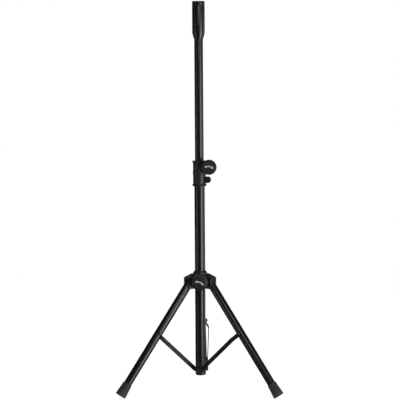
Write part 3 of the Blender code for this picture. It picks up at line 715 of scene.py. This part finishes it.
def hub():
    """The sliding hub: a collar with three arms, each a pair of cheeks under a sloping roof."""
    arms, cuts = [], [bar(HUB_BORE, 0.25, 0.36, segments=FINE)]
    low = HUB_LOW + 0.0016
    slope = (ROOF_START - ROOF_END) / (ARM_END - ROOF_START_R)
    far = ARM_END + 0.005
    solid = [(0.0100, low), (ARM_END, low, 0.0015), (ARM_END, ROOF_END, 0.0010)]
    solid += [(ROOF_START_R, ROOF_START), (0.0100, ROOF_START)]
    channel = [(CHANNEL_START, low - 0.005), (far, low - 0.005)]
    channel += [(far, ROOF_END - ROOF_THICK - 0.005 * slope)]
    channel += [(0.0245, ROOF_START - ROOF_THICK - 0.0045 * slope, 0.002), (CHANNEL_START, 0.3190, 0.001)]
    for name, angle in ARMS.items():
        arm = prism(rounded(solid), -ARM_HALF, ARM_HALF)
        slot = prism(rounded(channel), -CHANNEL_HALF, CHANNEL_HALF)
        for bm in (arm, slot):
            bm.transform(about_z(angle))
        arms.append(arm)
        cuts += [slot, bar(LEG_BOLT_HOLE, -0.020, 0.020, on_arm(angle, PIVOT["leg_fold_" + name]))]
    core = [(0, HUB_LOW), (HUB_R, HUB_LOW, 0.0008), (HUB_R, HUB_SHOULDER, 0.0010)]
    core += [(0.0163, HUB_HIGH - 0.0006, 0.0006), (0.0158, HUB_HIGH, 0.0003), (0, HUB_HIGH)]
    place = Matrix.Translation((0, 0, HUB_BOLT.z)) @ ALONG_Y
    boss = bar(0.0100, 0.0120, 0.0310, place, FINE, 0.0006)
    cuts.append(bar(0.0073, 0.0100, 0.0400, place))
    bm = spin(rounded(core, closed=False))
    mesh = carved("hub_body", bm, arms + [boss], cuts, solver="MANIFOLD", bevel=0.0006)
    piece("hub_body", mesh, "black_plastic")
    refinish("hub_insert", "brass")
    refinish("hub_pad", "black_plastic")
    bolt = domed("leg_bolt", 0.0052, ARM_HALF + GAP, ARM_HALF + 0.0028, 0.0030, -0.0192)
    nut = hex_nut("leg_nut", 0.0056, -ARM_HALF - GAP - 0.0036, -ARM_HALF - GAP, LEG_BOLT_HOLE)
    for name, angle in ARMS.items():
        place = Matrix.Translation(PIVOT["leg_fold_" + name]) @ about_z(angle) @ ALONG_Y
        piece("leg_bolt_" + name, bolt, "black_steel", place)
        piece("leg_nut_" + name, nut, "black_steel", place)


# ---- Legs and feet -------------------------------------------------------------------------

LEG_R, LEG_BORE, LEG_START, LEG_LENGTH = 0.0112, 0.0100, 0.0120, 0.37272
PLUG_R = 0.0097
RIVET = Matrix.Translation((0, 0, -0.1719))
FOOT_LENGTH, FOOT_TOP_R, FOOT_END_R = 0.0380, 0.0128, 0.0152


def leg_place(name):
    """The frame of a leg: the origin on its pivot, -Z down the tube and X outwards."""
    pivot = PIVOT["leg_fold_" + name]
    reach = middle("leg_tube_" + name) - pivot
    lean = math.atan2(reach.xy.length, -reach.z)
    return Matrix.Translation(pivot) @ about_z(ARMS[name]) @ Matrix.Rotation(-lean, 4, "Y")


def foot():
    """A rubber cup with gripping rings round its neck and ring treads in its sole."""
    end, top, bore = -LEG_LENGTH, -LEG_LENGTH + FOOT_LENGTH, LEG_R + GAP
    profile = [(0, end + 0.0012)]
    for r in (0.0020, 0.0052, 0.0084):
        profile += [(r, end + 0.0012, 0.0002), (r + 0.0002, end, 0.0003), (r + 0.0018, end, 0.0003)]
        profile += [(r + 0.0020, end + 0.0012, 0.0002)]
    profile += [(0.0116, end + 0.0012, 0.0002), (0.0118, end, 0.0003), (FOOT_END_R - 0.0008, end, 0.0004)]
    profile += [(FOOT_END_R, end + 0.0012, 0.0012), (FOOT_END_R - 0.0002, end + 0.0060, 0.004)]
    rise = FOOT_LENGTH - 0.0140
    for share in (0.52, 0.68, 0.84):
        z = end + 0.0060 + rise * share
        r = FOOT_END_R - 0.0002 + (FOOT_TOP_R + 0.0004 - FOOT_END_R + 0.0002) * share
        profile += [(r, z - 0.0008, 0.0003), (r - 0.0005, z - 0.0005, 0.0003)]
        profile += [(r - 0.0005, z + 0.0005, 0.0003), (r, z + 0.0008, 0.0003)]
    profile += [(FOOT_TOP_R + 0.0004, top - 0.0080, 0.002), (FOOT_TOP_R, top, 0.0006), (bore, top, 0.0004)]
    profile += [(bore, end + 0.0055), (0, end + 0.0055)]
    return mesh_of(spin(rounded(profile, closed=False)), "foot")


def legs():
    """Each leg's tube, moulded pivot plug, rubber foot and half of the brace rivet."""
    hole = bar(RIVET_HOLE, -0.020, 0.020, RIVET @ ALONG_Y)
    pipe = tube("leg_tube", LEG_R, LEG_BORE, -(LEG_LENGTH - 0.0060), -LEG_START, [hole])
    half, radius, low = CHANNEL_HALF - GAP, PLUG_R, -(LEG_START - GAP)
    block = prism(arc((0, 0), radius, 0, 180, 40) + [(-radius, low), (radius, low)], -half, half)
    spigot = bar(LEG_BORE - GAP, -0.0360, -0.0060, edge=0.0008)
    eye = bar(LEG_BOLT_HOLE, -0.020, 0.020, ALONG_Y)
    plug = carved("leg_plug", block, [spigot], [eye], bevel=0.0005)
    rivet = domed("leg_rivet", 0.0046, LEG_R + GAP, LEG_R + 0.0026, 0.0024, -LEG_R)
    cup = foot()
    for name in ARMS:
        place = leg_place(name)
        piece("leg_tube_" + name, pipe, "black_paint", place)
        piece("leg_plug_" + name, plug, "black_plastic", place)
        piece("foot_" + name, cup, "black_rubber", place)
        piece("leg_rivet_" + name, rivet, "black_steel", place @ RIVET @ BACKWARDS)


# ---- Braces --------------------------------------------------------------------------------

BRACE_WIDTH, BRACE_THICK = 0.0120, 0.0020
BRACE_SIDE_LOW, BRACE_SIDE_HIGH = 0.01835, 0.0201
BRACE_SIDE_LEG = LEG_R + GAP + BRACE_THICK / 2
JOGGLE_START, JOGGLE_END, STRIP_START = 0.0090, 0.0255, 0.012


def brace_run(name):
    """The frame of a brace, with the origin on its pin and Z up the strip, and its length."""
    pivot, rivet = PIVOT["brace_turn_" + name], middle("brace_rivet_" + name)
    angle = math.radians(ARMS[name])
    outward = Vector((math.cos(angle), math.sin(angle), 0))
    reach, rise = (rivet - pivot).dot(outward), rivet.z - pivot.z
    turn = about_z(ARMS[name]) @ Matrix.Rotation(math.atan2(reach, rise), 4, "Y")
    return Matrix.Translation(pivot) @ turn, math.hypot(reach, rise)


def brace_side(length, along):
    """How far the strip's middle plane stands to the right of the leg's plane."""
    from_leg = length - along
    if from_leg <= JOGGLE_END:
        share = ramp((from_leg - JOGGLE_START) / (JOGGLE_END - JOGGLE_START))
        share -= 0.05 * math.sin(2 * math.pi * share)
        return BRACE_SIDE_LEG + (BRACE_SIDE_HIGH - BRACE_SIDE_LEG) * share
    share = min(1.0, (from_leg - JOGGLE_END) / (length - JOGGLE_END - STRIP_START))
    return BRACE_SIDE_HIGH + (BRACE_SIDE_LOW - BRACE_SIDE_HIGH) * share


def brace_strip(length):
    """A flat strip with round ends and rolled edges, joggled sideways near its upper end."""
    half, edge = BRACE_WIDTH / 2, 0.00045
    turns = [math.radians(90 * k / 12) for k in range(13)]
    stations = [(-half * math.cos(t), half * math.sin(t)) for t in turns]
    straight = length - JOGGLE_END - STRIP_START
    stations += [(STRIP_START + straight * k / 10, half) for k in range(11)]
    stations += [(length - JOGGLE_END + (JOGGLE_END - JOGGLE_START) * k / 12, half) for k in range(1, 13)]
    stations += [(length + half * math.sin(t), half * math.cos(t)) for t in turns]
    bm, rows = bmesh.new(), []
    for along, reach in stations:
        reach = max(reach, 0.0001)
        side, thick = brace_side(length, along), BRACE_THICK / 2
        e = min(edge, reach * 0.8)
        corners = [(-reach, -thick, e), (reach, -thick, e), (reach, thick, e), (-reach, thick, e)]
        rows.append([bm.verts.new((p.x, p.y - side, along)) for p in rounded(corners)])
    count = len(rows[0])
    for row, after in zip(rows, rows[1:]):
        for k in range(count):
            bm.faces.new((row[k], row[(k + 1) % count], after[(k + 1) % count], after[k]))
    bm.faces.new(list(reversed(rows[0])))
    bm.faces.new(rows[-1])
    bmesh.ops.recalc_face_normals(bm, faces=bm.faces)
    low_hole = bar(PIN_HOLE, 0.010, 0.030, ALONG_Y)
    high_hole = bar(RIVET_HOLE, 0.005, 0.020, Matrix.Translation((0, 0, length)) @ ALONG_Y)
    return carved("brace", bm, cuts=[low_hole, high_hole])


def braces():
    """Each brace's strip, its half of the rivet on the leg and its pin in the foot fitting."""
    length = brace_run("back")[1]
    strip = brace_strip(length)
    outside = BRACE_SIDE_LEG + BRACE_THICK / 2 + GAP
    rivet = domed("brace_rivet", 0.0048, outside, outside + 0.0026, 0.0024, outside - BRACE_THICK - 0.0002)
    outside = BRACE_SIDE_LOW + BRACE_THICK / 2 + GAP
    pin = domed("brace_pin", 0.0050, outside, outside + 0.0013, 0.0025, 0.0085)
    for name, angle in ARMS.items():
        place = brace_run(name)[0]
        piece("brace_" + name, strip, "black_paint", place, STRIP_PAINT)
        top = place @ Matrix.Translation((0, 0, length))
        piece("brace_rivet_" + name, rivet, "black_steel", top @ ALONG_Y)
        upright = Matrix.Translation(PIVOT["brace_turn_" + name]) @ about_z(angle)
        piece("brace_pin_" + name, pin, "black_steel", upright @ ALONG_Y)


# ---- Floor, lights and camera --------------------------------------------------------------

CENTRE = Vector((AXIS.translation.x, AXIS.translation.y, 0.0))


def floor():
    bm = bmesh.new()
    bmesh.ops.create_circle(bm, cap_ends=True, segments=128, radius=1.4)
    ground = bpy.data.objects.new("floor", mesh_of(bm, "floor"))
    bpy.context.scene.collection.objects.link(ground)
    ground.location = (CENTRE.x, CENTRE.y, CAD_LOW.z - 0.0002)
    f = Finish("floor_pale")
    tone = f.span(f.noise(3, 3), 0.2, 0.8, 0.86, 0.90)
    base = f.node("CombineColor", Red=tone, Green=tone, Blue=tone).outputs["Color"]
    f.set(Base_Color=base, Roughness=0.9, Specular_IOR_Level=0.1)
    f.set(Emission_Color=grey(1.0), Emission_Strength=0.80)
    ground.data.materials.append(f.material)
    ground.visible_glossy = False
    ground.visible_shadow = False


def softbox(name, azimuth, distance, height, size, radiance, aim=0.55):
    """A rectangular light at this azimuth from the camera's side, facing the column."""
    data = bpy.data.lights.new(name, "AREA")
    data.shape = "RECTANGLE"
    data.size, data.size_y = size
    data.energy = radiance * math.pi * size[0] * size[1]
    lamp = bpy.data.objects.new(name, data)
    bpy.context.scene.collection.objects.link(lamp)
    turn = math.radians(azimuth)
    lamp.location = CENTRE + Vector((distance * math.sin(turn), -distance * math.cos(turn), height))
    lamp.rotation_mode = "QUATERNION"
    lamp.rotation_quaternion = (CENTRE + Vector((0, 0, aim)) - lamp.location).to_track_quat("-Z", "Y")
    lamp.visible_camera = False


def lights():
    softbox("key", 49, 2.6, 0.05, (1.60, 2.20), 5.0)
    softbox("right_fill", 106, 2.6, 0.25, (1.70, 2.00), 1.1)
    softbox("left_fill", -64, 2.6, 0.20, (1.30, 1.80), 1.2)
    softbox("front_high", 10, 1.9, 1.5, (0.80, 0.50), 5.5)
    softbox("back_right", 160, 2.6, 0.5, (0.45, 1.80), 2.0)
    softbox("back_left", -160, 2.6, 0.5, (0.45, 1.80), 2.0)
    softbox("top", 10, 0.3, 2.9, (1.6, 1.6), 1.5)
    world = bpy.data.worlds.new("studio")
    world.use_nodes = True
    bpy.context.scene.world = world
    tree = world.node_tree
    for node in list(tree.nodes):
        tree.nodes.remove(node)
    path, mix = tree.nodes.new("ShaderNodeLightPath"), tree.nodes.new("ShaderNodeMixShader")
    room, white = tree.nodes.new("ShaderNodeBackground"), tree.nodes.new("ShaderNodeBackground")
    room.inputs["Color"].default_value = grey(0.03)
    white.inputs["Color"].default_value = grey(1.0)
    out = tree.nodes.new("ShaderNodeOutputWorld")
    tree.links.new(path.outputs["Is Camera Ray"], mix.inputs[0])
    tree.links.new(room.outputs[0], mix.inputs[1])
    tree.links.new(white.outputs[0], mix.inputs[2])
    tree.links.new(mix.outputs[0], out.inputs["Surface"])


def camera():
    """The photograph's view: a long lens 4.1 m away, a little to the right and looking down 5.8 degrees."""
    tip = Matrix.Rotation(math.radians(90 - 5.7885), 4, "X")
    data = bpy.data.cameras.new("camera")
    data.lens, data.sensor_width = 133.40, 36.0
    data.clip_start, data.clip_end = 0.05, 50.0
    eye = bpy.data.objects.new("camera", data)
    bpy.context.scene.collection.objects.link(eye)
    at = CENTRE + Vector((0.1287, -4.1030, 0.9503))
    eye.matrix_world = Matrix.Translation(at) @ about_z(1.7817) @ tip @ about_z(-0.38)
    bpy.context.scene.camera = eye
    bpy.context.scene.view_settings.view_transform = "Standard"


column()
foot_fitting()
housing()
housing_fasteners()
mast()
knobs()
hub()
legs()
braces()
floor()
lights()
camera()
